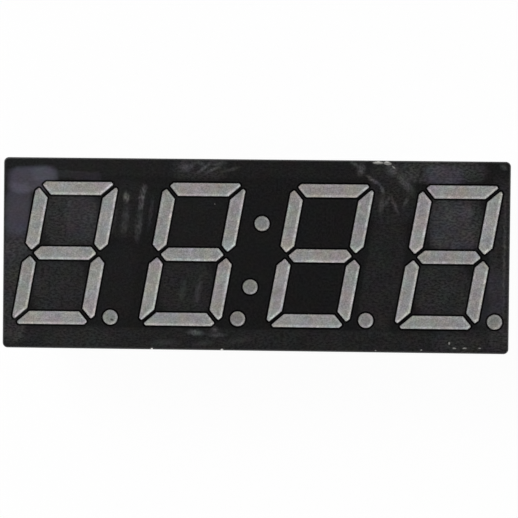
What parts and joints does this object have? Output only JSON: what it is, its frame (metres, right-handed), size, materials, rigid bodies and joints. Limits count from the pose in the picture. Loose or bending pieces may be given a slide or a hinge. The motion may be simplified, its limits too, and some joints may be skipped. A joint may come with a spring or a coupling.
{
  "type": "seven segment display module",
  "caption": "Slim rectangular LED clock display: slanted seven segment digits with decimal points and a centre colon in a black face, white housing, solder pins behind.",
  "frame": {"origin": "centre of the seating plane, the back rim of the housing", "axes": "+X along the row of digits as they are read, +Y to the tops of the digits, +Z out of the face"},
  "size_m": [0.0502, 0.019, 0.014],
  "materials": {
    "housing": "matt moulded white",
    "film": "satin black print",
    "light": "diffusing cast resin, unlit",
    "board": "glass fibre laminate",
    "back_resin": "milky cast resin",
    "die": "semiconductor die",
    "wire": "bond wire",
    "pin": "tinned"
  },
  "bodies": {
    "root": {"reflector_housing": "housing", "face_film": "film", "segment_a_digit_1": "light", "segment_b_digit_1": "light", "segment_c_digit_1": "light", "segment_d_digit_1": "light", "segment_e_digit_1": "light", "segment_f_digit_1": "light", "segment_g_digit_1": "light", "segment_a_digit_2": "light", "segment_b_digit_2": "light", "segment_c_digit_2": "light", "segment_d_digit_2": "light", "segment_e_digit_2": "light", "segment_f_digit_2": "light", "segment_g_digit_2": "light", "segment_a_digit_3": "light", "segment_b_digit_3": "light", "segment_c_digit_3": "light", "segment_d_digit_3": "light", "segment_e_digit_3": "light", "segment_f_digit_3": "light", "segment_g_digit_3": "light", "segment_a_digit_4": "light", "segment_b_digit_4": "light", "segment_c_digit_4": "light", "segment_d_digit_4": "light", "segment_e_digit_4": "light", "segment_f_digit_4": "light", "segment_g_digit_4": "light", "decimal_point_1": "light", "decimal_point_2": "light", "decimal_point_3": "light", "decimal_point_4": "light", "colon_dot_upper": "light", "colon_dot_lower": "light", "circuit_board": "board", "back_resin": "back_resin", "led_dies": "die", "bond_wires": "wire", "pin_01": "pin", "pin_02": "pin", "pin_03": "pin", "pin_04": "pin", "pin_05": "pin", "pin_06": "pin", "pin_07": "pin", "pin_08": "pin", "pin_09": "pin", "pin_10": "pin", "pin_11": "pin", "pin_12": "pin", "pin_13": "pin", "pin_14": "pin"}
  },
  "joints": []
}
